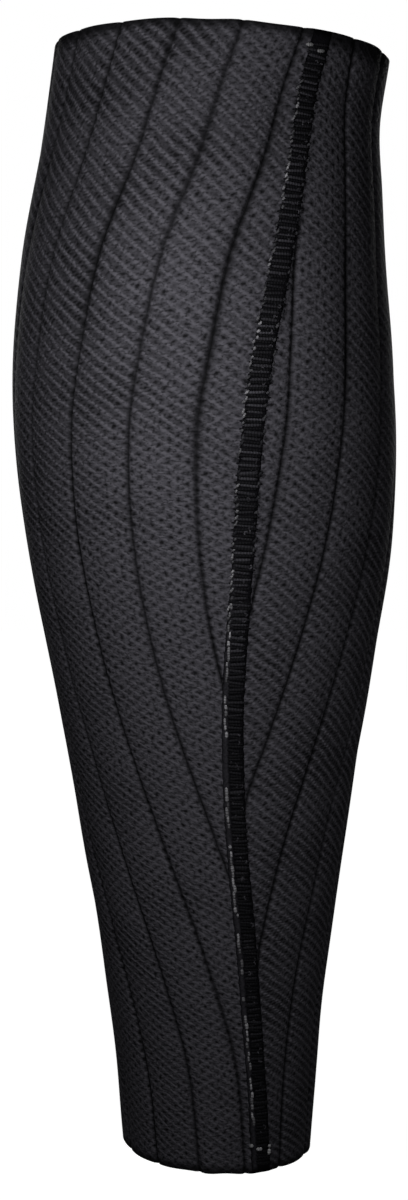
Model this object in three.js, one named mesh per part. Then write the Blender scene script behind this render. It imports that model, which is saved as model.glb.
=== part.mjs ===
// A calf compression sleeve, standing as it does round a leg: a knitted tube with lengthwise ribs,
// closed by one flat seam up the back and tacked at both ends of the seam.
//
// Millimetres, +Z up the leg. The back of the calf faces -Y, the shin +Y, and the seam leans
// towards +X. The origin is on the leg's line at the widest part of the calf.
//
// Angles round the leg are in degrees from the middle of the back, positive towards +X.
import * as THREE from 'three';

// Lengths along the leg
const sleeveLength = 340;
const calfHeight = 224;
const rimTilt = 2.7;

// Widths from side to side
const ankleWidth = 59.2;
const calfWidth = 119.4;
const topWidth = 103.6;

// Depths from the leg's line to the back and to the shin
const ankleBack = 37;
const calfBack = 68;
const topBack = 53;
const ankleShin = 37;
const calfShin = 53;
const topShin = 54;

// How far the middle of each rim stands aside of the leg's line, towards +X
const ankleLean = 3.9;
const topLean = 5.6;

// The knit: a wall with a groove between each two ribs, and ribs that are slightly crowned
const wall = 1.7;
const ribCount = 18;
const ribCrown = 0.5;
const grooveWidth = 1.8;
const grooveDepth = 0.7;

// The flat seam, a band of stitches that lies on the knit
const seamWidth = 6.8;
const seamThickness = 0.8;
const seamEdgeSlope = 0.5;
const seamClearance = 0.3;
const ribFadeWidth = 1.6;

// The tacks that lock the seam, each a short bar of thread across it
const tackWidth = 7;
const tackHeight = 1.5;
const tackThickness = 0.6;
const tackEdgeSlope = 0.25;
const tackClearance = 0.3;
const upperTackInset = 6;
const lowerTackInset = 7.5;

// Steps of the mesh
const rowCount = 36;
const seamColumns = 6;
const tackColumns = 4;
const hiddenColumns = 14;

// Sections of the leg. Height runs from 0 at the ankle rim over 1 at the calf to 2 at the top rim.
// Wide and deep say how far width and depth have grown from the nearer rim's size to the calf's,
// and lean is the share of that rim's own lean. The shin grows as the width does.
const sections = [
  { height: 0.00, wide: 0.00, deep: 0.00, lean: 1.00 },
  { height: 0.12, wide: 0.07, deep: 0.03, lean: 1.00 },
  { height: 0.24, wide: 0.17, deep: 0.08, lean: 0.85 },
  { height: 0.39, wide: 0.34, deep: 0.20, lean: 0.75 },
  { height: 0.55, wide: 0.53, deep: 0.41, lean: 0.64 },
  { height: 0.70, wide: 0.73, deep: 0.65, lean: 0.48 },
  { height: 0.85, wide: 0.92, deep: 0.87, lean: 0.30 },
  { height: 1.00, wide: 1.00, deep: 1.00, lean: 0.05 },
  { height: 1.18, wide: 0.94, deep: 0.98, lean: 0.00 },
  { height: 1.41, wide: 0.65, deep: 0.80, lean: 0.00 },
  { height: 1.65, wide: 0.25, deep: 0.42, lean: 0.28 },
  { height: 1.82, wide: 0.00, deep: 0.18, lean: 0.50 },
  { height: 2.00, wide: 0.00, deep: 0.00, lean: 1.00 },
];

// The course of the seam and of the ribs up the leg, at heights as above. Seam is the seam's angle,
// turn is how far the rib pattern has turned, and spread is the ribs' pitch against an even one:
// the cloth is cut narrower towards the ankle, where the seam swallows the outer ribs.
const courses = [
  { height: 0.00, seam: 27.0, turn: 15.5, spread: 1.40 },
  { height: 0.15, seam: 21.6, turn: 12.3, spread: 1.37 },
  { height: 0.30, seam: 16.6, turn: 8.0, spread: 1.28 },
  { height: 0.45, seam: 10.6, turn: 4.4, spread: 1.18 },
  { height: 0.61, seam: 8.1, turn: 4.2, spread: 1.08 },
  { height: 0.76, seam: 9.1, turn: 5.8, spread: 1.02 },
  { height: 0.98, seam: 13.4, turn: 10.2, spread: 0.985 },
  { height: 1.41, seam: 22.3, turn: 17.6, spread: 1.00 },
  { height: 1.71, seam: 28.5, turn: 24.0, spread: 1.03 },
  { height: 2.00, seam: 33.0, turn: 28.3, spread: 1.055 },
];

const degree = Math.PI / 180;

// Height above the ankle rim for a table's height value
function heightAbove(value) {
  return value <= 1 ? value * calfHeight : calfHeight + (value - 1) * (sleeveLength - calfHeight);
}

// A smooth curve up the leg through one value for each row of a table: a cubic between each two
// rows, whose slope at a row is the mean of the straight slopes on either side of it
function curveUp(table, valueOf) {
  const heights = table.map((row) => heightAbove(row.height));
  const values = table.map(valueOf);
  const last = heights.length - 2;
  const rises = heights.slice(1).map((height, i) => (values[i + 1] - values[i]) / (height - heights[i]));
  const slopes = heights.map((_, i) => (rises[Math.max(i - 1, 0)] + rises[Math.min(i, last)]) / 2);
  return (height) => {
    const above = heights.findIndex((rowHeight) => rowHeight > height);
    const i = above < 0 ? last : above - 1;
    const span = heights[i + 1] - heights[i];
    const u = (height - heights[i]) / span;
    const bend = (1 - u) * (slopes[i] - rises[i]) - u * (slopes[i + 1] - rises[i]);
    return values[i] + u * span * rises[i] + u * (1 - u) * span * bend;
  };
}

// A size that goes from the nearer rim's value to the calf's by a column of the sections table
function grownSize(rimLow, calf, rimTop, column) {
  return curveUp(sections, (row) => {
    const rim = row.height < 1 ? rimLow : rimTop;
    return rim + (calf - rim) * row[column];
  });
}

const halfWidthAt = grownSize(ankleWidth / 2, calfWidth / 2, topWidth / 2, 'wide');
const backAt = grownSize(ankleBack, calfBack, topBack, 'deep');
const shinAt = grownSize(ankleShin, calfShin, topShin, 'wide');
const leanAt = curveUp(sections, (row) => (row.height < 1 ? ankleLean : topLean) * row.lean);
const seamAngleAt = curveUp(courses, (row) => row.seam);
const turnAt = curveUp(courses, (row) => row.turn);
const ribPitchAt = curveUp(courses, (row) => (row.spread * 360) / ribCount);

// A point of the leg's surface, moved outwards by lift. Each section is two half ellipses,
// one for the back and one for the shin, and every section is tilted as the rims are.
function surfacePoint(height, angle, lift) {
  const depth = Math.cos(angle * degree) > 0 ? backAt(height) : shinAt(height);
  const x = leanAt(height) + (halfWidthAt(height) + lift) * Math.sin(angle * degree);
  const y = -(depth + lift) * Math.cos(angle * degree);
  return new THREE.Vector3(x, y, height - calfHeight - x * Math.tan(rimTilt * degree));
}

// Degrees round the leg for one millimetre of surface at a place
function degreesPerMillimetre(height, angle) {
  const depth = Math.cos(angle * degree) > 0 ? backAt(height) : shinAt(height);
  const sideways = halfWidthAt(height) * Math.cos(angle * degree);
  return 1 / (Math.hypot(sideways, depth * Math.sin(angle * degree)) * degree);
}

// The columns of the knit from the front to the seam on one side, in ribs from the front. Each rib
// has a column on its crest, and each groove has one at its bottom and one on either shoulder.
function ribColumns() {
  const columns = [];
  for (let rib = 0.5; rib <= (ribCount - 1) / 2; rib += 1) {
    columns.push({ rib, side: -1, sunk: ribCrown });
    columns.push({ rib, side: 0, sunk: ribCrown + grooveDepth });
    columns.push({ rib, side: 1, sunk: ribCrown });
    columns.push({ rib: rib + 0.5, side: 0, sunk: 0 });
  }
  return columns;
}

// Where a column lies at a height, as its angle and how deep it is sunk. A column that would cross
// the seam is kept beside the seam's middle, under the band, and the relief fades towards the band.
function columnPlace(height, hand, column, stepsFromSeam) {
  const seamAngle = seamAngleAt(height);
  const fromFront = column.rib * ribPitchAt(height);
  const centre = turnAt(height) + hand * (180 - fromFront);
  const shoulder = (grooveWidth / 2) * degreesPerMillimetre(height, centre);
  const free = centre - hand * column.side * shoulder;
  const perMillimetre = degreesPerMillimetre(height, seamAngle);
  const step = ((seamWidth / 2) / hiddenColumns) * perMillimetre;
  const fromSeam = Math.max(hand * (free - seamAngle), stepsFromSeam * step);
  const outside = (fromSeam / perMillimetre - seamWidth / 2) / ribFadeWidth;
  return { angle: seamAngle + hand * fromSeam, sunk: column.sunk * THREE.MathUtils.clamp(outside, 0, 1) };
}

// All columns round the leg at a height, from the front over the -X side, the seam and the +X side
function ringPlaces(height) {
  const columns = ribColumns();
  const places = [{ angle: turnAt(height) - 180, sunk: 0 }];
  columns.forEach((column, index) => {
    places.push(columnPlace(height, -1, column, columns.length - index));
  });
  places.push({ angle: seamAngleAt(height), sunk: 0 });
  [...columns].reverse().forEach((column, index) => {
    places.push(columnPlace(height, 1, column, index + 1));
  });
  return places;
}

// The inner wall is smooth, so it takes only the columns at crests and groove bottoms
function onInnerWall(index, total) {
  const columns = ribColumns();
  const seam = columns.length + 1;
  const column = index < seam ? columns[index - 1] : columns[total - 1 - index];
  return index === 0 || index === seam || column.side === 0;
}

// A closed mesh from points and the triangles between them
function closedGeometry(points, triangles) {
  const geometry = new THREE.BufferGeometry();
  const coordinates = points.flatMap((point) => point.toArray());
  geometry.setAttribute('position', new THREE.Float32BufferAttribute(coordinates, 3));
  geometry.setIndex(triangles);
  return geometry.toNonIndexed();
}

// The knitted tube: rings of the outer wall, rings of the inner wall and a flat rim at either end
function knitGeometry() {
  const points = [];
  const triangles = [];
  const outer = [];
  const inner = [];
  const total = ringPlaces(0).length;
  const innerColumns = [...Array(total).keys()].filter((index) => onInnerWall(index, total));
  const addPoint = (height, angle, lift) => points.push(surfacePoint(height, angle, lift)) - 1;
  for (let row = 0; row < rowCount; row += 1) {
    const height = (row / (rowCount - 1)) * sleeveLength;
    const places = ringPlaces(height);
    outer.push(places.map((place) => addPoint(height, place.angle, -place.sunk)));
    inner.push(innerColumns.map((index) => addPoint(height, places[index].angle, -wall)));
  }
  const addWall = (rings, outwards) => {
    for (let row = 0; row < rowCount - 1; row += 1) {
      const count = rings[row].length;
      for (let column = 0; column < count; column += 1) {
        const next = (column + 1) % count;
        const [a, b] = [rings[row][column], rings[row][next]];
        const [d, c] = [rings[row + 1][column], rings[row + 1][next]];
        triangles.push(...(outwards ? [a, b, c, a, c, d] : [a, c, b, a, d, c]));
      }
    }
  };
  const addRim = (row, upwards) => {
    innerColumns.forEach((start, index) => {
      const after = (index + 1) % innerColumns.length;
      const end = after === 0 ? total : innerColumns[after];
      const corners = [];
      for (let column = start; column < end; column += 1) {
        corners.push([outer[row][column], outer[row][(column + 1) % total], inner[row][index]]);
      }
      corners.push([outer[row][end % total], inner[row][after], inner[row][index]]);
      corners.forEach(([a, b, c]) => triangles.push(...(upwards ? [a, b, c] : [a, c, b])));
    });
  };
  addWall(outer, true);
  addWall(inner, false);
  addRim(0, false);
  addRim(rowCount - 1, true);
  return closedGeometry(points, triangles);
}

// A flat bar that lies on the surface and follows the seam between two heights. It is widest where
// it lies on, and its long edges slope in towards its upper face.
function seamBarGeometry({ heights, width, thickness, edgeSlope, lift, columns }) {
  const points = [];
  const triangles = [];
  const layer = (halfWidth, offset) => heights.map((height) => {
    const middle = seamAngleAt(height);
    const perMillimetre = degreesPerMillimetre(height, middle);
    return [...Array(columns + 1).keys()].map((column) => {
      const aside = ((column / columns) * 2 - 1) * halfWidth;
      return points.push(surfacePoint(height, middle + aside * perMillimetre, offset)) - 1;
    });
  });
  const under = layer(width / 2, lift);
  const upper = layer(width / 2 - edgeSlope, lift + thickness);
  const quad = (a, b, c, d) => triangles.push(a, b, c, a, c, d);
  const last = heights.length - 1;
  for (let row = 0; row < last; row += 1) {
    for (let column = 0; column < columns; column += 1) {
      quad(upper[row][column], upper[row][column + 1], upper[row + 1][column + 1], upper[row + 1][column]);
      quad(under[row][column], under[row + 1][column], under[row + 1][column + 1], under[row][column + 1]);
    }
    quad(under[row][0], upper[row][0], upper[row + 1][0], under[row + 1][0]);
    quad(under[row + 1][columns], upper[row + 1][columns], upper[row][columns], under[row][columns]);
  }
  for (let column = 0; column < columns; column += 1) {
    quad(under[0][column], under[0][column + 1], upper[0][column + 1], upper[0][column]);
    quad(under[last][column + 1], under[last][column], upper[last][column], upper[last][column + 1]);
  }
  return closedGeometry(points, triangles);
}

// The band of the seam takes the same heights as the knit under it
function seamBandGeometry() {
  return seamBarGeometry({
    heights: [...Array(rowCount).keys()].map((row) => (row / (rowCount - 1)) * sleeveLength),
    width: seamWidth,
    thickness: seamThickness,
    edgeSlope: seamEdgeSlope,
    lift: seamClearance,
    columns: seamColumns,
  });
}

// A tack lies on the seam's band
function tackGeometry(middleHeight) {
  return seamBarGeometry({
    heights: [middleHeight - tackHeight / 2, middleHeight + tackHeight / 2],
    width: tackWidth,
    thickness: tackThickness,
    edgeSlope: tackEdgeSlope,
    lift: seamClearance + seamThickness + tackClearance,
    columns: tackColumns,
  });
}

function addPiece(group, name, geometry, finish) {
  const mesh = new THREE.Mesh(geometry, new THREE.MeshStandardMaterial({ metalness: 0, ...finish }));
  mesh.name = name;
  group.add(mesh);
}

const blackKnit = { color: '#313036', roughness: 0.9 };
const blackThread = { color: '#1d1c21', roughness: 0.85 };
const paleThread = { color: '#9a999d', roughness: 0.6 };

const calfSleeve = new THREE.Group();
addPiece(calfSleeve, 'knit_sleeve', knitGeometry(), blackKnit);
addPiece(calfSleeve, 'back_seam', seamBandGeometry(), blackThread);
addPiece(calfSleeve, 'upper_bar_tack', tackGeometry(sleeveLength - upperTackInset), paleThread);
addPiece(calfSleeve, 'lower_bar_tack', tackGeometry(lowerTackInset), paleThread);

export default calfSleeve;
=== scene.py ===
"""A calf compression sleeve, standing as it does round a leg, seen from behind.

Metres, +Z up the leg, -Y the back of the calf, +X the side that the seam leans to. Angles round the
leg are in degrees from the middle of the back, positive towards +X, and heights are above the ankle rim.
"""
import math

import bpy
import numpy as np
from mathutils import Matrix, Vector


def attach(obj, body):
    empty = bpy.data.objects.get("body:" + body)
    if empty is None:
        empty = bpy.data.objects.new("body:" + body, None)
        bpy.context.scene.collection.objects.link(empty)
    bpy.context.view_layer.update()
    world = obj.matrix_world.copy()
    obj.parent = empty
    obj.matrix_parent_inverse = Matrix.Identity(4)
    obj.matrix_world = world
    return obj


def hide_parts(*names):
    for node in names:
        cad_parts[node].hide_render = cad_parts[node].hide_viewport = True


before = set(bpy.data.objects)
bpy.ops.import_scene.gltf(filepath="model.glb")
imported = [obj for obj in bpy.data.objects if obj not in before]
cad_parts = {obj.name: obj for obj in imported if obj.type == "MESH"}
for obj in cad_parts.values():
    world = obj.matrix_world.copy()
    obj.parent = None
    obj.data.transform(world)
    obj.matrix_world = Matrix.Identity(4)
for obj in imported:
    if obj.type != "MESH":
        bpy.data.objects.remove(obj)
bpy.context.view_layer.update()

# The knit sleeve
# A tube of nylon and elastane rib knit, cut from one flat panel that narrows to the ankle and
# stretched round the leg. Grooves part it lengthwise into ribs, and both rims are clean edges.
sleeve_length = 0.340
calf_height = 0.224
rim_tilt = 2.7
ankle_width, calf_width, top_width = 0.0592, 0.1194, 0.1036
ankle_back, calf_back, top_back = 0.037, 0.068, 0.053
ankle_shin, calf_shin, top_shin = 0.037, 0.053, 0.054
ankle_lean, top_lean = 0.0039, 0.0056
rib_count = 18
rib_crown = 0.0006
groove_depth = 0.0007
groove_width = 0.0014
knit_wall = 0.0012
seam_width = 0.0066
rib_fade = 0.0012
wales_per_rib = 7.4

# The cloth isn't quite even: slow waves run all over it, and a ripple at each rim fades inwards.
slow_wave = 0.00006
rim_ripple = 0.00022
ripple_reach = 0.004

# A rim gets painted shade: it is dark up to the first distance from its edge, and the dark is gone by the
# second. At the sides of the top rim the painted shade reaches further, both distances longer by a second
# pair, more and more between two angles on each side, and less on the left.
rim_painted_shade = (0.0008, 0.0034)
side_painted_shade = (0.0012, 0.0052)
right_shade_between = (10, 60)
left_shade_between = (25, 60)
left_shade_share = 0.6

# Height is 0 at the ankle rim, 1 at the calf and 2 at the top rim. Wide and deep say how far the
# section has grown from the nearer rim's size to the calf's, and lean is a share of the rim's lean.
section_columns = ("height", "wide", "deep", "lean")
sections = np.array([
    (0.00, 0.00, 0.00, 1.00),
    (0.12, 0.07, 0.03, 1.00),
    (0.24, 0.17, 0.08, 0.85),
    (0.39, 0.34, 0.20, 0.75),
    (0.55, 0.53, 0.41, 0.64),
    (0.70, 0.73, 0.65, 0.48),
    (0.85, 0.92, 0.87, 0.30),
    (1.00, 1.00, 1.00, 0.05),
    (1.18, 0.94, 0.98, 0.00),
    (1.41, 0.65, 0.80, 0.00),
    (1.65, 0.25, 0.42, 0.28),
    (1.82, 0.00, 0.18, 0.50),
    (2.00, 0.00, 0.00, 1.00),
])

# Seam is the seam's angle, turn is how far the rib pattern has turned, spread is the pitch of the
# ribs against an even one, and course is the height of a row of stitches in millimetres.
line_columns = ("height", "seam", "turn", "spread", "course")
lines = np.array([
    (0.00, 27.0, 15.5, 1.40, 1.28),
    (0.15, 21.0, 12.3, 1.37, 1.32),
    (0.30, 15.3, 8.0, 1.28, 1.36),
    (0.45, 9.5, 4.4, 1.18, 1.40),
    (0.61, 7.3, 4.2, 1.08, 1.44),
    (0.76, 9.0, 5.8, 1.02, 1.49),
    (0.98, 12.9, 10.2, 0.985, 1.58),
    (1.18, 16.7, 13.6, 0.99, 1.68),
    (1.41, 23.0, 17.6, 1.00, 1.80),
    (1.71, 29.3, 24.0, 1.03, 1.84),
    (2.00, 34.3, 28.3, 1.055, 1.84),
])


def curve_up(table, values):
    """A cubic between each two rows of a table, by height. The slope at a row is the mean of the
    straight slopes on either side of it, and at the two ends it is the straight slope there."""
    share = table[:, 0]
    heights = np.where(share <= 1, share * calf_height,
                       calf_height + (share - 1) * (sleeve_length - calf_height))
    rises = np.diff(values) / np.diff(heights)
    slopes = np.concatenate([rises[:1], (rises[1:] + rises[:-1]) / 2, rises[-1:]])

    def value_at(height):
        i = np.clip(np.searchsorted(heights, height, side="right") - 1, 0, len(rises) - 1)
        span = heights[i + 1] - heights[i]
        u = (height - heights[i]) / span
        bend = (1 - u) * (slopes[i] - rises[i]) - u * (slopes[i + 1] - rises[i])
        return values[i] + u * span * rises[i] + u * (1 - u) * span * bend

    return value_at


def grown(rim_low, calf, rim_top, column):
    """A size that goes from the nearer rim's value to the calf's by a column of the sections table."""
    rim = np.where(sections[:, 0] < 1, rim_low, rim_top)
    share = sections[:, section_columns.index(column)]
    return curve_up(sections, rim + (calf - rim) * share)


def line(column):
    """A column of the lines table as a curve up the leg."""
    return curve_up(lines, lines[:, line_columns.index(column)])


half_width_at = grown(ankle_width / 2, calf_width / 2, top_width / 2, "wide")
back_at = grown(ankle_back, calf_back, top_back, "deep")
shin_at = grown(ankle_shin, calf_shin, top_shin, "wide")
rim_lean = np.where(sections[:, 0] < 1, ankle_lean, top_lean)
lean_at = curve_up(sections, rim_lean * sections[:, section_columns.index("lean")])
seam_at, turn_at, spread_at, course_at = line("seam"), line("turn"), line("spread"), line("course")


def leg_surface(height, angle, lift):
    """Points of the leg's surface, moved outwards by lift. A section is two half ellipses, one for
    the back and one for the shin, and each section is tilted as the rims are."""
    turn = np.radians(angle)
    depth = np.where(np.cos(turn) > 0, back_at(height), shin_at(height))
    x = lean_at(height) + (half_width_at(height) + lift) * np.sin(turn)
    y = -(depth + lift) * np.cos(turn)
    z = height - calf_height - x * math.tan(math.radians(rim_tilt))
    return np.stack(np.broadcast_arrays(x, y, z), axis=-1)


def degrees_per_metre(height, angle):
    """Degrees round the leg for one metre of surface: the inverse of the ellipse's speed there."""
    turn = np.radians(angle)
    depth = np.where(np.cos(turn) > 0, back_at(height), shin_at(height))
    return np.degrees(1 / np.hypot(half_width_at(height) * np.cos(turn), depth * np.sin(turn)))


def smooth_step(low, high, value):
    """0 below low, 1 above high, and a smooth cubic between them."""
    u = np.clip((value - low) / (high - low), 0, 1)
    return u * u * (3 - 2 * u)


def new_piece(name, points, faces):
    """A smooth piece at the origin from its points and faces, with its place in its mesh."""
    mesh = bpy.data.meshes.new(name)
    mesh.from_pydata(points.reshape(-1, 3).tolist(), [], faces)
    mesh.shade_smooth()
    piece = bpy.data.objects.new(name, mesh)
    bpy.context.scene.collection.objects.link(piece)
    return piece


def surface_mesh(name, grid, ring_rows=False):
    """A closed mesh from a grid of points, rows by columns, with quads between neighbours. Columns
    form a ring. Rows form a ring too, or else the first and the last row are closed by a face.
    Faces point outwards when rows run up and the outer columns run towards +X."""
    rows, columns = grid.shape[:2]
    index = np.arange(rows * columns).reshape(rows, columns)
    low = index if ring_rows else index[:-1]
    high = np.roll(index, -1, axis=0) if ring_rows else index[1:]
    quads = np.stack([low, np.roll(low, -1, axis=1), np.roll(high, -1, axis=1), high], axis=-1)
    faces = quads.reshape(-1, 4).tolist()
    if not ring_rows:
        faces += [index[0, ::-1].tolist(), index[-1].tolist()]
    return new_piece(name, grid, faces)


def keep_values(piece, **columns):
    """Stores one number for each vertex of the piece under each given name."""
    for name, values in columns.items():
        attribute = piece.data.attributes.new(name, "FLOAT", "POINT")
        attribute.data.foreach_set("value", np.asarray(values, dtype=np.float32).reshape(-1))


# Places of the columns round the sleeve, in ribs from the shin on each hand. They stand closer
# together near a groove. Those that the seam has cut off lie squeezed under its band, within
# squeezed_share of its width on each side.
beside_groove = np.array([0.0, 0.02, 0.045, 0.08, 0.13, 0.20, 0.30, 0.40])
within_rib = np.concatenate([-beside_groove[:0:-1], beside_groove]) + 0.5
rib_places = np.concatenate([[0.0]] + [np.append(k + within_rib, k + 1.0) for k in range(rib_count // 2)])
squeezed_share = 0.46
outer_rows = 286
inner_rows = 34
rim_rows = 5


def knit_columns(height):
    """Angle, hand and rib number of each column at each height. A column stands at its own share of
    a rib, measured from the shin, unless that lies beyond the seam: then it stays beside it."""
    pitch = spread_at(height)[:, None] * 360 / rib_count
    seam, turn = seam_at(height)[:, None], turn_at(height)[:, None]
    squeeze = seam_width * squeezed_share * degrees_per_metre(height, seam_at(height))[:, None]
    steps = np.arange(len(rib_places), 0, -1)[None] / len(rib_places)
    left = seam - np.maximum(seam - turn + 180 - rib_places * pitch, squeeze * steps)
    right = seam + np.maximum(turn - seam + 180 - rib_places * pitch, squeeze * steps)
    angle = np.concatenate([left, seam, right[:, :0:-1]], axis=1)
    hand = np.where(np.arange(angle.shape[1]) <= len(rib_places), -1, 1)
    rib = (180 - hand * (angle - turn)) / pitch
    return angle, hand, rib


def knit_relief(height, angle, rib):
    """How deep the cloth is sunk. Each rib is a parabola across, each groove a bell curve, and both
    fade out beside the seam. Slow waves a few centimetres long keep it from being too even."""
    seam_speed = degrees_per_metre(height, seam_at(height))[:, None]
    pitch = spread_at(height)[:, None] * 360 / rib_count
    from_crest = np.where(rib < rib_count / 2, rib - np.round(rib), 0)
    from_groove = (0.5 - np.abs(from_crest)) * pitch / degrees_per_metre(height[:, None], angle)
    beside_seam = np.abs(angle - seam_at(height)[:, None]) / seam_speed
    fade = smooth_step(seam_width / 2, seam_width / 2 + rib_fade, beside_seam)
    groove = np.exp(-(from_groove / (groove_width / 2)) ** 2)
    turn = np.radians(angle)
    wave = np.sin(3 * turn + 95 * height[:, None]) + np.sin(5 * turn - 160 * height[:, None] + 1.3)
    return (rib_crown * 4 * from_crest ** 2 + groove_depth * groove) * fade + slow_wave * wave


def build_knit():
    """The cloth as one closed ring of rows: up the outside, over the top rim in a half circle, down the
    inside and under the ankle rim. Its map counts stitches: wales across and courses up. The rims get
    painted shade, over a wider strip at the sides of the top rim, widest at +X."""
    half = knit_wall / 2
    arc = (np.arange(rim_rows) + 1) / (rim_rows + 1) * math.pi
    rise = np.linspace(half, sleeve_length - half, outer_rows)
    fall = np.linspace(sleeve_length - half, half, inner_rows)
    bulge = half * np.sin(arc)
    height = np.concatenate([rise, sleeve_length - half + bulge, fall, half - bulge])
    inward = np.concatenate([np.zeros(outer_rows), half - half * np.cos(arc),
                             np.full(inner_rows, knit_wall), half + half * np.cos(arc)])
    angle, hand, rib = knit_columns(height)
    sunk = knit_relief(height, angle, rib)
    ripple = rim_ripple * np.sin(np.radians(angle) * 9 + 2 * np.sin(np.radians(angle) * 4))
    near_rim = np.exp(-np.minimum(height, sleeve_length - height) / ripple_reach)[:, None]
    grid = leg_surface(height[:, None] + ripple * near_rim, angle, -sunk - inward[:, None])
    piece = surface_mesh("ribbed_knit", grid, ring_rows=True)

    levels = np.linspace(0, sleeve_length, 200)
    courses = np.diff(levels) * 1000 / course_at((levels[1:] + levels[:-1]) / 2)
    course_count = np.interp(height, levels, np.concatenate([[0], np.cumsum(courses)]))
    up = np.repeat(course_count[:, None], angle.shape[1], axis=1)
    start = -hand * rib * wales_per_rib
    end = np.roll(start, -1, axis=1)
    at_seam = len(rib_places)
    end[:, at_seam - 1] = rib[:, at_seam] * wales_per_rib
    start[:, at_seam] = (rib[:, at_seam] - rib_count) * wales_per_rib
    over_start, over_end, over_up = (np.roll(a, -1, axis=0) for a in (start, end, up))
    corners = np.stack([start, up, end, up, over_end, over_up, over_start, over_up], axis=-1)
    stitch_map = piece.data.uv_layers.new(name="stitches")
    stitch_map.data.foreach_set("uv", corners.reshape(-1).astype(np.float32))

    # Painted shade at the rims: dark near each edge, reaching further at the sides of the top rim.
    to_rim = np.minimum(height, sleeve_length - height)[:, None]
    rim_side_shade = np.maximum(smooth_step(*right_shade_between, angle),
                         left_shade_share * smooth_step(*left_shade_between, -angle))
    rim_side_shade = rim_side_shade * smooth_step(calf_height, sleeve_length, height)[:, None]
    dark_to, dark_out = (rim_painted_shade[k] + side_painted_shade[k] * rim_side_shade for k in (0, 1))
    rim = 1 - smooth_step(dark_to, dark_out, to_rim)
    outside = 1 - smooth_step(0, knit_wall, inward)[:, None]
    keep_values(piece, rim=np.broadcast_to(rim, angle.shape),
                outside=np.broadcast_to(outside, angle.shape))
    return piece


knit = build_knit()


class Nodes:
    """Short words for building a tree of shader nodes."""

    def __init__(self, tree):
        self.tree = tree

    def put(self, value, socket):
        """Links another node's output to the socket, or sets the socket to a plain value."""
        if isinstance(value, bpy.types.NodeSocket):
            self.tree.links.new(value, socket)
        else:
            socket.default_value = value

    def add(self, kind, inputs=None, **settings):
        """A new node with its settings, and with values or links on the inputs that are named."""
        node = self.tree.nodes.new(kind)
        for key, value in settings.items():
            setattr(node, key, value)
        for key, value in (inputs or {}).items():
            self.put(value, node.inputs[key])
        return node

    def math(self, operation, *values, clamp=False):
        """The result of one step of arithmetic, kept from 0 to 1 where clamp is set."""
        node = self.add("ShaderNodeMath", dict(enumerate(values)), operation=operation, use_clamp=clamp)
        return node.outputs[0]

    def tint(self, share, first, second):
        """A colour that goes from first to second as share goes from 0 to 1."""
        node = self.add("ShaderNodeMix", {0: share}, data_type="RGBA")
        for colour, socket in ((first, node.inputs[6]), (second, node.inputs[7])):
            self.put(colour if isinstance(colour, bpy.types.NodeSocket) else (*colour, 1), socket)
        return node.outputs[2]

    def noise(self, place, scale, detail=1.0, output=0):
        """Soft noise from 0 to 1, or a colour of it, with its features 1 / scale apart."""
        node = self.add("ShaderNodeTexNoise", {"Vector": place, "Scale": scale, "Detail": detail})
        return node.outputs[output]

    def value(self, name):
        """One of the piece's own stored numbers."""
        return self.add("ShaderNodeAttribute", attribute_name=name).outputs["Fac"]

    def wave(self, phase, sharpness):
        """A wave from 0 to 1 that crests at whole numbers; more sharpness makes narrower crests."""
        turns = self.math("COSINE", self.math("MULTIPLY", phase, 2 * math.pi))
        return self.math("POWER", self.math("MULTIPLY_ADD", turns, 0.5, 0.5), sharpness)


def new_material(name, roughness, specular):
    """A material with a Principled shader, whose even values are set on its own sockets."""
    material = bpy.data.materials.new(name)
    material.use_nodes = True
    material.node_tree.nodes.clear()
    n = Nodes(material.node_tree)
    shader = n.add("ShaderNodeBsdfPrincipled", {"Roughness": roughness, "Specular IOR Level": specular})
    n.add("ShaderNodeOutputMaterial", {"Surface": shader.outputs[0]})
    return material, n, shader


def new_group(name, inputs, outputs):
    """A node group with named inputs and outputs, all of them numbers but the Place."""
    group = bpy.data.node_groups.new(name, "ShaderNodeTree")
    for way, names in (("INPUT", inputs), ("OUTPUT", outputs)):
        for socket in names:
            kind = "NodeSocketVector" if socket == "Place" else "NodeSocketFloat"
            group.interface.new_socket(name=socket, in_out=way, socket_type=kind)
    n = Nodes(group)
    return group, n, n.add("NodeGroupInput").outputs, n.add("NodeGroupOutput").inputs


# The knit is a lattice of loops on two slanting families of lines. As a twill, beaded ridges run one
# way with dots between them. As a net, ridges run both ways round a pinhole in each mesh. Scales are
# features to a stitch, a sharpness is a wave's power, and a range is a gain and what is added to it.
wobble_scale, patch_scale, fluff_scale = 0.24, 0.09, 2.2
ridge_sharpness, cross_sharpness, bead_sharpness = 3.0, 2.2, 1.2
dot_sharpness, valley_sharpness, pinhole_sharpness = 4.0, 1.4, 1.6
patch_range = (1.8, -0.9)
bead_light_range, bead_dark_range = (0.95, 0.45), (1.0, 0.4)
hole_range, fluff_range = (0.75, 0.25), (4.2, -1.6)
yarn_range, fluff_light_range = (0.78, 0.18), (0.9, 0.55)
stitch_group, n, given, result = new_group(
    "knit stitches", ("Place", "Twill", "Double", "Unevenness"), ("Height", "YarnAndHighlight", "PaintedPitShade"))
wobble = n.noise(given["Place"], wobble_scale, 3.0, output=1)
bend = n.add("ShaderNodeVectorMath", {0: wobble, 1: (0.5, 0.5, 0.5)}, operation="SUBTRACT")
bend = n.add("ShaderNodeVectorMath", {0: bend.outputs[0], "Scale": given["Unevenness"]},
             operation="SCALE")
place = n.add("ShaderNodeVectorMath", {0: given["Place"], 1: bend.outputs[0]}, operation="ADD")
place = n.add("ShaderNodeSeparateXYZ", {0: place.outputs[0]})
twill_phase = n.math("MULTIPLY", n.math("ADD", place.outputs[0], place.outputs[1]), 0.5)
cross_phase = n.math("MULTIPLY", n.math("SUBTRACT", place.outputs[0], place.outputs[1]), 0.5)
patch = n.math("MULTIPLY_ADD", n.noise(given["Place"], patch_scale, 2.0), *patch_range)
twill_share = n.math("ADD", given["Twill"], patch, clamp=True)
between_ridges = n.math("ADD", twill_phase, 0.5)
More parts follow.
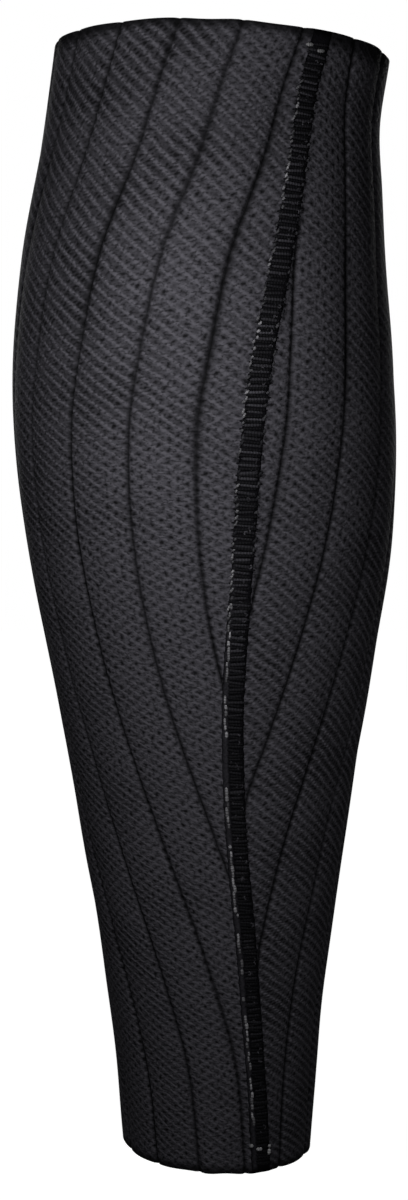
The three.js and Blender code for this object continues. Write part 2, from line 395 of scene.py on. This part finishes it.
crest = n.wave(twill_phase, ridge_sharpness)
cross_crest = n.wave(cross_phase, cross_sharpness)
bead = n.wave(n.math("MULTIPLY", cross_phase, 2.0), bead_sharpness)
valley = n.wave(between_ridges, valley_sharpness)
cross_valley = n.wave(n.math("ADD", cross_phase, 0.5), valley_sharpness)
small_crest = n.math("MULTIPLY", n.wave(between_ridges, dot_sharpness), given["Double"])
# The light here is the yarn's own tone with a painted highlight on the crests. The dark is painted shade
# in the valleys and pinholes.
bead_light = n.math("MULTIPLY_ADD", bead, *bead_light_range)
twill_light = n.math("MULTIPLY", n.math("ADD", crest, small_crest), bead_light)
net_light = n.math("MULTIPLY_ADD", cross_crest, 0.30, n.math("MULTIPLY_ADD", crest, 0.38, 0.26))
light = n.add("ShaderNodeMix", {0: twill_share, 2: net_light, 3: twill_light}).outputs[0]
bead_dark = n.math("MULTIPLY_ADD", bead, *bead_dark_range)
twill_dark = n.math("MULTIPLY", n.math("SUBTRACT", valley, small_crest), bead_dark)
net_dark = n.math("POWER", n.math("MULTIPLY", valley, cross_valley), 1.5)
pinhole = n.math("MULTIPLY", n.wave(place.outputs[0], pinhole_sharpness), 1.25)
net_dark = n.math("MULTIPLY", net_dark, pinhole)
dark = n.add("ShaderNodeMix", {0: twill_share, 2: net_dark, 3: twill_dark}).outputs[0]

# Each hole and each loop of the lattice has its own chance, and fluff breaks up both.
cross_place = n.math("ROUND", n.math("MULTIPLY", cross_phase, 2.0))
hole = n.add("ShaderNodeCombineXYZ", {0: n.math("FLOOR", twill_phase), 1: cross_place})
chance = n.add("ShaderNodeTexWhiteNoise", {"Vector": hole.outputs[0]}, noise_dimensions="2D").outputs[0]
loop = n.add("ShaderNodeCombineXYZ", {0: n.math("ROUND", twill_phase), 1: cross_place})
luck = n.add("ShaderNodeTexWhiteNoise", {"Vector": loop.outputs[0]}, noise_dimensions="2D").outputs[0]
fluff = n.noise(given["Place"], fluff_scale, 3.0)
fluff = n.math("MULTIPLY_ADD", fluff, *fluff_range, clamp=True)
speck = n.math("MULTIPLY", n.math("SUBTRACT", 0.28, fluff), 1.8, clamp=True)
# The pit mask is painted shade in valleys and pinholes, with dark specks of fluff added.
painted_pit_shade = n.math("MULTIPLY", dark, n.math("MULTIPLY_ADD", chance, *hole_range))
n.put(n.math("ADD", painted_pit_shade, speck, clamp=True), result["PaintedPitShade"])
# A few loops get a painted glint: a bright dot of painted highlight.
painted_glint = n.math("MULTIPLY", n.math("POWER", luck, 4.0), n.math("MULTIPLY", crest, bead))
fluff_light = n.math("MULTIPLY_ADD", fluff, *fluff_light_range)
yarn = n.math("MULTIPLY", n.math("MULTIPLY_ADD", light, *yarn_range), fluff_light)
n.put(n.math("MULTIPLY_ADD", painted_glint, 0.8, yarn), result["YarnAndHighlight"])
height = n.math("SUBTRACT", n.math("MULTIPLY", light, 0.7), n.math("MULTIPLY", painted_pit_shade, 0.7))
n.put(n.math("MULTIPLY_ADD", fluff, 0.35, height), result["Height"])

# Across counts ribs from the shin, and up counts courses from the ankle. The twill gives way to the
# net beside the seam. Up the calf it grows stronger on the left and a little weaker on the right.
seam_from, seam_blend = 6.6, 1.4
upper_from, upper_blend = 120.0, 50.0
left_range, left_beside_seam = (0.70, 0.12), -0.50
right_range, right_beside_seam = (-0.20, 0.65), -0.42
stitch_relief = 0.0004
knit_material, n, shader = new_material("black rib knit", roughness=0.85, specular=0.12)
place = n.add("ShaderNodeUVMap", uv_map="stitches").outputs[0]
along, up = n.add("ShaderNodeSeparateXYZ", {0: place}).outputs[:2]
across = n.math("ABSOLUTE", n.math("DIVIDE", along, wales_per_rib))
beside_seam = n.math("DIVIDE", n.math("SUBTRACT", across, seam_from), seam_blend, clamp=True)
left_panels = n.math("GREATER_THAN", along, 0.0)
upper = n.math("DIVIDE", n.math("SUBTRACT", up, upper_from), upper_blend, clamp=True)
left_twill = n.math("MULTIPLY_ADD", upper, *left_range)
left_twill = n.math("MULTIPLY_ADD", beside_seam, left_beside_seam, left_twill)
right_twill = n.math("MULTIPLY_ADD", upper, *right_range)
right_twill = n.math("MULTIPLY_ADD", beside_seam, right_beside_seam, right_twill)
twill_share = n.add("ShaderNodeMix", {0: left_panels, 2: right_twill, 3: left_twill}).outputs[0]
double_patches = n.math("MULTIPLY_ADD", n.noise(place, 0.06), 2.4, -1.0, clamp=True)
stitches = n.add("ShaderNodeGroup", {
    "Place": place,
    "Twill": twill_share,
    "Double": n.math("MULTIPLY", upper, double_patches),
    "Unevenness": n.math("MULTIPLY_ADD", upper, -0.45, 1.1)}, node_tree=stitch_group)
# The light yarn colour carries a painted highlight. The pit colour is painted shade, used in valleys,
# pinholes, grooves and at the rims.
base_yarn, yarn_highlight, painted_pit_shade = (0.022, 0.0213, 0.0253), (0.102, 0.0985, 0.1150), (0.002, 0.002, 0.0025)
colour = n.tint(stitches.outputs["YarnAndHighlight"], base_yarn, yarn_highlight)
colour = n.tint(n.math("MULTIPLY", stitches.outputs["PaintedPitShade"], 0.85), colour, painted_pit_shade)

# A groove gets painted shade: a dark line in a wider soft band of painted shade, measured in ribs from
# its middle. Where a slow noise along it makes it soft, the line fades and the wider painted shade shows
# instead.
line_reach, shade_reach, line_wander = 0.052, 0.17, 0.03
across = n.math("SUBTRACT", across, line_wander / 2)
across = n.math("MULTIPLY_ADD", n.noise(place, 0.4), line_wander, across)
from_crest = n.math("ABSOLUTE", n.math("SUBTRACT", across, n.math("ROUND", across)))
from_groove = n.math("SUBTRACT", 0.5, from_crest)
groove_painted_line = n.math("SUBTRACT", 1.0, n.math("DIVIDE", from_groove, line_reach), clamp=True)
groove_painted_shade = n.math("SUBTRACT", 1.0, n.math("DIVIDE", from_groove, shade_reach), clamp=True)
groove_painted_shade = n.math("POWER", groove_painted_shade, 2.0)
groove = n.add("ShaderNodeCombineXYZ", {
    0: n.math("MULTIPLY", n.math("FLOOR", n.math("DIVIDE", along, wales_per_rib)), 5.3),
    1: n.math("MULTIPLY", up, 0.018)}).outputs[0]
softness = n.math("MULTIPLY_ADD", n.noise(groove, 1.0), 4.0, -1.5, clamp=True)
softness = n.math("MULTIPLY", softness, n.math("MULTIPLY_ADD", upper, 0.7, 0.3))
crispness = n.math("MULTIPLY_ADD", softness, -0.75, 1.0)
blobs = n.math("MULTIPLY_ADD", n.noise(place, 0.5), 1.6, 0.50, clamp=True)
outside = n.value("outside")
groove_painted_shade = n.math("MULTIPLY", n.math("MULTIPLY", groove_painted_shade, softness), outside)
colour = n.tint(groove_painted_shade, colour, painted_pit_shade)
groove_painted_line = n.math("MULTIPLY", groove_painted_line, crispness)
groove_painted_line = n.math("MULTIPLY", groove_painted_line, n.math("MULTIPLY", blobs, outside))
colour = n.tint(groove_painted_line, colour, painted_pit_shade)
# The rims are darkened with painted shade.
colour = n.tint(n.math("MULTIPLY", n.value("rim"), 0.9), colour, painted_pit_shade)
bump = n.add("ShaderNodeBump", {
    "Height": stitches.outputs["Height"], "Distance": stitch_relief, "Strength": 0.8})
n.put(colour, shader.inputs["Base Color"])
n.put(bump.outputs[0], shader.inputs["Normal"])
knit.data.materials.append(knit_material)
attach(knit, "root")
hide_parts("knit_sleeve")

# The back seam
# The panel's two edges butted and joined by a flat seam of textured nylon thread. A narrow band of
# crushed cloth lies under the stitches, outside and inside, with a black line of painted shadow at each
# edge.
band_thickness = 0.0005
band_sink = 0.00015
inner_overlap = 0.0001
band_rows = 420
seam_inset = 0.0003
band_rim_painted_shade = (0.0006, 0.0028)
crush_relief = 0.0004
black_cloth, crushed_cloth = (0.0018, 0.0018, 0.0023), (0.011, 0.0105, 0.013)
puckered_cloth, gap_shadow_black = (0.055, 0.053, 0.062), (0.001, 0.001, 0.0014)


def on_seam(height, across, lift):
    """Points beside the seam's line: across is the distance from it round the leg."""
    angle = seam_at(height) + across * degrees_per_metre(height, seam_at(height))
    return leg_surface(height, angle, lift)


def band_strip(name, lift, way):
    """A strip along the seam whose section is half of an ellipse above and flat below; way is 1 for
    the outer side and -1 for the inner. Both edges wander by two sine waves, 3 and 5 mm long, as
    crushed cloth does."""
    turn = np.linspace(0, math.pi, 15)
    height = np.linspace(seam_inset, sleeve_length - seam_inset, band_rows)[:, None]
    side = np.concatenate([-np.cos(turn), [0.5, -0.5]])[None]
    rise = np.concatenate([np.sin(turn) ** 0.6 * band_thickness, [0.0, 0.0]])[None]
    ragged = 1 + 0.025 * np.sin(2100 * height + 2 * side) + 0.02 * np.sin(1270 * height - 3 * side)
    grid = on_seam(height + 0 * side, side * ragged * seam_width / 2, lift + way * rise + 0 * height)
    strip = surface_mesh(name, grid[:, ::way])
    # Painted shade at the band's ends, by the rims.
    rim = 1 - smooth_step(*band_rim_painted_shade, np.minimum(height, sleeve_length - height))
    keep_values(strip, across=np.broadcast_to(side, grid.shape[:2])[:, ::way],
                rim=np.broadcast_to(rim, grid.shape[:2]))
    return strip


band = band_strip("seam_band", -band_sink, 1)
inner_band = band_strip("inner_seam_band", -knit_wall + inner_overlap, -1)

# The cloth is black, and blackest at its edges and rims, where painted shadow and painted shade are laid
# on. Low down it is paler where the needle thread puckers it.
band_material, n, shader = new_material("crushed seam cloth", roughness=0.9, specular=0.03)
place = n.add("ShaderNodeTexCoord").outputs["Object"]
crush = n.noise(place, 1400.0, 2.0)
height = n.add("ShaderNodeSeparateXYZ", {0: place}).outputs[2]
low_down = n.math("DIVIDE", n.math("SUBTRACT", -0.03, height), 0.03, clamp=True)
under_needle = n.math("DIVIDE", n.math("SUBTRACT", -0.38, n.value("across")), 0.2, clamp=True)
# Painted shadow along the band's two edges.
edge = n.math("POWER", n.math("ABSOLUTE", n.value("across")), 6.0)
colour = n.tint(crush, black_cloth, crushed_cloth)
puckered = n.math("MULTIPLY", crush, n.math("MULTIPLY", under_needle, low_down))
colour = n.tint(puckered, colour, puckered_cloth)
# The edges and rims take the black of painted shadow.
dark = n.math("MAXIMUM", edge, n.value("rim"))
n.put(n.tint(dark, colour, gap_shadow_black), shader.inputs["Base Color"])
bump = n.add("ShaderNodeBump", {"Height": crush, "Distance": crush_relief, "Strength": 0.6})
n.put(bump.outputs[0], shader.inputs["Normal"])
for strip in (band, inner_band):
    strip.data.materials.append(band_material)

# The seam's stitches
# Nylon thread in three parts: looper threads laid across the band like the rungs of a ladder, every
# other one black and longer, small loops where they catch each other, and a needle thread that
# stitches along the band's left side.
stitch_pitch = 0.0019
thread_end = 0.985
needle_out, needle_further_out = 0.0021, 0.0009
needle_shifts_between = (0.13, 0.21)
random = np.random.default_rng(7)


def threads(name, paths, outward, thick, tone, flat=0.7, sides=6):
    """Closed threads, one along each path of points. A section is an ellipse across the path, flat
    times as high as it is wide. The width follows a rounded end: the root of 1 - t ** 6, with t from
    -thread_end to thread_end."""
    count, points = paths.shape[:2]
    along = np.gradient(paths, axis=1)
    along /= np.linalg.norm(along, axis=-1, keepdims=True)
    beside = np.cross(along, outward)
    beside /= np.linalg.norm(beside, axis=-1, keepdims=True)
    above = np.cross(beside, along)
    share = np.linspace(-thread_end, thread_end, points)
    width = np.reshape(thick, (-1, 1)) / 2 * np.sqrt(1 - share ** 6)[None]
    turn = np.arange(sides) / sides * 2 * math.pi
    ring = (beside[:, :, None] * np.cos(turn)[:, None] + above[:, :, None] * flat * np.sin(turn)[:, None])
    places = paths[:, :, None] + ring * width[:, :, None, None]
    index = np.arange(count * points * sides).reshape(count, points, sides)
    low, high = index[:, :-1], index[:, 1:]
    quads = np.stack([low, high, np.roll(high, -1, axis=2), np.roll(low, -1, axis=2)], axis=-1)
    ends = np.concatenate([index[:, 0], index[:, -1, ::-1]])
    piece = new_piece(name, places, quads.reshape(-1, 4).tolist() + ends.tolist())
    steps = np.linalg.norm(np.diff(paths, axis=1, prepend=paths[:, :1]), axis=-1)
    own_tone = np.broadcast_to(np.reshape(tone, (-1, 1)), (count, points))
    keep_values(piece, along=np.repeat(np.cumsum(steps, axis=1), sides, axis=1),
                tone=np.repeat(own_tone, sides, axis=1))
    return piece


def out_of_leg(height, across):
    """The level way out of the leg beside the seam's line: the sine and negative cosine of the angle."""
    turn = np.radians(seam_at(height) + across * degrees_per_metre(height, seam_at(height)))
    return np.stack([np.sin(turn), -np.cos(turn), 0 * turn], axis=-1)


def needle_line(height):
    """How far across from the seam's line the needle thread runs, to the left: a smooth step about
    half way up takes it further out."""
    return -needle_out - needle_further_out * smooth_step(*needle_shifts_between, height)


def wander(height, start):
    """A slow wander from 0 to 1 along the seam, by sine waves 9, 23 and 61 mm long."""
    waves = [np.sin(2 * math.pi * height / length + start * length * 1000)
             for length in (0.009, 0.023, 0.061)]
    return np.clip(0.5 + 0.28 * sum(waves), 0, 1)


# Twisted thread shows its plies as bands across it, with painted shade between them, and each length of
# it has its own tone.
twist_group, n, given, result = new_group(
    "twisted thread", ("Place", "Along", "Tone", "Ply"), ("Shade", "Height"))
twist = n.wave(n.math("DIVIDE", given["Along"], given["Ply"]), 1.0)
fuzz = n.noise(given["Place"], 2600.0, 2.0)
shade = n.math("MULTIPLY", given["Tone"], n.math("MULTIPLY_ADD", twist, 0.45, 0.55))
n.put(n.math("MULTIPLY", shade, n.math("MULTIPLY_ADD", fuzz, 1.2, 0.4), clamp=True), result["Shade"])
n.put(n.math("ADD", twist, fuzz), result["Height"])


def thread_material(name, dark, light, ply):
    """Thread of its own colours, from the dark of painted shade between the plies to the light on them.
    """
    material, n, shader = new_material(name, roughness=0.75, specular=0.15)
    twisted = n.add("ShaderNodeGroup", {
        "Place": n.add("ShaderNodeTexCoord").outputs["Object"],
        "Along": n.value("along"),
        "Tone": n.value("tone"),
        "Ply": ply}, node_tree=twist_group)
    n.put(n.tint(twisted.outputs["Shade"], dark, light), shader.inputs["Base Color"])
    bump = n.add("ShaderNodeBump", {
        "Height": twisted.outputs["Height"], "Distance": 0.00015, "Strength": 0.7})
    n.put(bump.outputs[0], shader.inputs["Normal"])
    return material


# The rungs stop a few millimetres from each rim. Higher up, the black ones reach further out on
# both sides and the grey ones are lighter.
lowest_rung, top_rung_gap = 0.003, 0.004
rung_right_end = 0.0030
rung_thickness = (0.0007, 0.0011)
black_tone = 0.04
rung_height = np.arange(lowest_rung, sleeve_length - top_rung_gap, stitch_pitch / 2)
rung_count = len(rung_height)
black = np.arange(rung_count) % 2 == 1
rung_height = rung_height + random.uniform(-0.0002, 0.0002, rung_count)
share = np.linspace(-1, 1, 9)[None]
upper_part = smooth_step(0.12, 0.20, rung_height)
longer = np.where(black, 0.0001 + 0.0007 * upper_part, 0.0)
left_end = (needle_line(rung_height) + 0.0005 - 0.0006 * upper_part - longer)[:, None]
left_end = left_end + random.uniform(-0.0005, 0.0005, (rung_count, 1))
right_end = rung_right_end + 0.7 * longer[:, None] + random.uniform(-0.0007, 0.0005, (rung_count, 1))
across = (left_end + right_end) / 2 + share * (right_end - left_end) / 2
height = rung_height[:, None] + share * random.uniform(-0.0003, 0.0003, (rung_count, 1))
lift = 0.00010 + 0.00030 * (1 - share ** 4)
grey_tone = (0.3 + 0.7 * wander(rung_height, 1.7)) * (0.35 + 0.65 * upper_part)
rung_tone = np.where(black, black_tone, grey_tone)
rungs = threads("looper_rungs", on_seam(height, across, lift + 0 * height), out_of_leg(height, across),
                random.uniform(*rung_thickness, rung_count),
                rung_tone * random.uniform(0.4, 1.0, rung_count))
rungs.data.materials.append(thread_material(
    "looper thread", dark=(0.002, 0.002, 0.003), light=(0.070, 0.068, 0.080), ply=0.0009))

# The loops are short arcs of thinner thread, strewn over the right half of the band.
loop_count = 120
loop_sizes = (0.0003, 0.0006)
loop_thickness = (0.0004, 0.0006)
loop_lift = 0.0005
loop_height = random.uniform(0.006, sleeve_length - 0.008, loop_count)
loop_start = random.uniform(0, 2 * math.pi, (loop_count, 1))
turn = loop_start + np.linspace(0, 1, 9)[None] * random.uniform(1.2, 4.6, (loop_count, 1))
loop_radius = random.uniform(*loop_sizes, (loop_count, 1))
across = random.uniform(-0.0002, 0.0022, (loop_count, 1)) + loop_radius * np.cos(turn)
height = loop_height[:, None] + loop_radius * np.sin(turn)
loops = threads("looper_loops", on_seam(height, across, loop_lift + 0 * height),
                out_of_leg(height, across), random.uniform(*loop_thickness, loop_count),
                random.uniform(0.1, 1.0, loop_count), sides=5)
loops.data.materials.append(thread_material(
    "loop thread", dark=(0.006, 0.006, 0.008), light=(0.085, 0.082, 0.095), ply=0.0009))

# The needle thread shows only where its tone is light enough, as short dashes, each a low arch.
needle_pitch = 0.0021
lowest_stitch, highest_stitch = 0.014, 0.176
half_stitch = (0.0006, 0.0017)
needle_thickness = (0.0006, 0.0011)
least_tone = 0.36
needle_height = np.arange(lowest_stitch, highest_stitch, needle_pitch)
needle_height = needle_height + random.uniform(-0.0003, 0.0003, needle_height.shape)
needle_tone = wander(needle_height, 0.9)
shows = needle_tone > least_tone
needle_height, needle_tone = needle_height[shows], needle_tone[shows]
share = np.linspace(-1, 1, 7)[None]
height = needle_height[:, None] + share * random.uniform(*half_stitch, (len(needle_height), 1))
across = needle_line(height) + random.uniform(-0.0003, 0.0003, (len(needle_height), 1))
lift = 0.0001 + 0.0004 * (1 - share ** 2)
needle = threads("needle_stitches", on_seam(height, across, lift + 0 * height),
                 out_of_leg(height, across), random.uniform(*needle_thickness, len(needle_height)),
                 needle_tone * random.uniform(0.5, 1.6, len(needle_height)))
needle.data.materials.append(thread_material(
    "needle thread", dark=(0.012, 0.012, 0.015), light=(0.34, 0.335, 0.355), ply=0.0008))

# From about half way up the thread shows only as short picks, lighter on the left edge than on
# the right, where they stand twice as far apart.
lowest_pick, highest_pick = 0.165, 0.326
pick_thickness = (0.0006, 0.0009)
left_pick_tone, right_pick_tone = 1.2, 0.22
left_picks = np.arange(lowest_pick, highest_pick, stitch_pitch)
pick_height = np.concatenate([left_picks, left_picks[10::2]])
pick_count = len(pick_height)
on_left = np.arange(pick_count) < len(left_picks)
pick_height = pick_height + random.uniform(-0.0006, 0.0006, pick_height.shape)
across = np.where(on_left, needle_line(pick_height) - 0.0002, rung_right_end)[:, None]
across = across + random.uniform(-0.0005, 0.0005, (pick_count, 1))
across = across + share * random.uniform(0.0001, 0.0006, (pick_count, 1))
height = pick_height[:, None] + share * random.uniform(0.0003, 0.0010, (pick_count, 1))
lift = 0.0001 + 0.0003 * (1 - share ** 2)
pick_tone = wander(pick_height, 2.3) * np.where(on_left, left_pick_tone, right_pick_tone)
pick_tone = pick_tone * random.uniform(0.2, 1.0, pick_count)
picks = threads("needle_picks", on_seam(height, across, lift + 0 * height), out_of_leg(height, across),
                random.uniform(*pick_thickness, pick_count), pick_tone)
picks.data.materials.append(needle.data.materials[0])

seam_pieces = [band, inner_band, rungs, loops, needle, picks]
for piece in seam_pieces:
    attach(piece, "root")
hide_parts("back_seam")

# The bar tacks
# A few tight passes of pale thread across each end of the seam, so that it can't run open.
# Each stitch is height, distance across from the seam's line, length and slope, in millimetres,
# and then its tone.
upper_stitches = ((334.9, -3.7, 2.4, 0.1, 0.50), (333.6, 0.5, 2.9, 0.2, 0.40))
lower_stitches = ((8.8, -3.2, 1.2, 0.1, 0.75), (7.6, -0.6, 2.0, 0.0, 0.9),
                  (6.4, 2.7, 0.5, 0.9, 1.0), (8.2, 2.9, 0.4, 0.4, 0.8))
tack_thickness = 0.0011
tack_lift, tack_arch = 0.00045, 0.0003


def build_tack(name, stitches):
    """Short threads laid across the seam, arched from end to end as a parabola."""
    height, across, length, slope = np.array(stitches).T[:4, :, None] / 1000
    share = np.linspace(-1, 1, 7)[None]
    lift = tack_lift + tack_arch * (1 - share ** 2)
    height = height + share * slope
    across = across + share * length / 2
    return threads(name, on_seam(height, across, lift + 0 * height), out_of_leg(height, across),
                   np.full(len(stitches), tack_thickness), np.array(stitches)[:, 4])


tack_material = thread_material(
    "pale tack thread", dark=(0.05, 0.05, 0.053), light=(0.46, 0.46, 0.47), ply=0.0007)
for name, node, stitches in (("upper_tack_stitches", "upper_bar_tack", upper_stitches),
                             ("lower_tack_stitches", "lower_bar_tack", lower_stitches)):
    tack = build_tack(name, stitches)
    tack.data.materials.append(tack_material)
    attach(tack, "root")
    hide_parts(node)

# The stage
# A pale floor below the sleeve, which is held up. The main light is soft and near, at the upper left,
# with others low on the right, behind the shin and down into the top.
floor_gap = 0.17
floor_height = -calf_height - floor_gap
floor_reach = 6.0
floor_mesh = bpy.data.meshes.new("floor")
floor_mesh.from_pydata([(x * floor_reach, y * floor_reach, floor_height)
                        for x, y in ((-1, -1), (1, -1), (1, 1), (-1, 1))], [], [(0, 1, 2, 3)])
floor = bpy.data.objects.new("floor", floor_mesh)
bpy.context.scene.collection.objects.link(floor)
floor_material, n, shader = new_material("pale floor", roughness=0.8, specular=0.2)
shader.inputs["Base Color"].default_value = (0.35, 0.35, 0.35, 1)
shader.inputs["Emission Color"].default_value = (1, 1, 1, 1)
n.put(n.add("ShaderNodeLightPath").outputs["Is Camera Ray"], shader.inputs["Emission Strength"])
floor_mesh.materials.append(floor_material)


def soft_light(name, place, aim, size, power, spread=180):
    """A square area light that faces a point, its beam as wide as spread in degrees."""
    data = bpy.data.lights.new(name, "AREA")
    data.size = size
    data.energy = power
    data.spread = math.radians(spread)
    lamp = bpy.data.objects.new(name, data)
    lamp.visible_camera = False
    lamp.location = place
    lamp.rotation_euler = (Vector(aim) - Vector(place)).to_track_quat("-Z", "Y").to_euler()
    bpy.context.scene.collection.objects.link(lamp)


soft_light("key light", place=(-0.058, -0.212, 0.063), aim=(0, 0, 0), size=0.08, power=0.235)
soft_light("low light", place=(0.05, -0.25, -0.085), aim=(0, 0, -0.08), size=0.08, power=0.098)
soft_light("shin light left", place=(-0.16, 0.45, 0.10), aim=(0, 0, 0), size=0.2, power=0.8)
soft_light("shin light right", place=(0.16, 0.45, 0.10), aim=(0, 0, 0), size=0.2, power=0.75)
soft_light("light into the top", place=(0, -0.45, 0.62), aim=(0, 0.045, 0.08), size=0.05,
           power=0.012, spread=8)

# The camera sees a white world, which lights the sleeve with only a small share of that.
world_light = 0.03
world = bpy.data.worlds.new("studio")
world.use_nodes = True
world.node_tree.nodes.clear()
n = Nodes(world.node_tree)
seen_white = n.add("ShaderNodeLightPath").outputs["Is Camera Ray"]
strength = n.math("MULTIPLY_ADD", seen_white, 1 - world_light, world_light)
background = n.add("ShaderNodeBackground", {"Color": (1, 1, 1, 1), "Strength": strength})
n.add("ShaderNodeOutputWorld", {0: background.outputs[0]})
bpy.context.scene.world = world

# The camera
# It stands behind the calf, a little below its widest part, and looks down by camera_dip degrees.
camera_distance = 0.700
camera_height = -0.0243
camera_dip = 2.37
camera_data = bpy.data.cameras.new("camera")
camera_data.sensor_width = 36
camera_data.lens = 67.1
camera = bpy.data.objects.new("camera", camera_data)
camera.location = (0, -camera_distance, camera_height)
camera.rotation_euler = (math.radians(90 - camera_dip), 0, 0)
bpy.context.scene.collection.objects.link(camera)
bpy.context.scene.camera = camera
bpy.context.scene.view_settings.view_transform = "Standard"
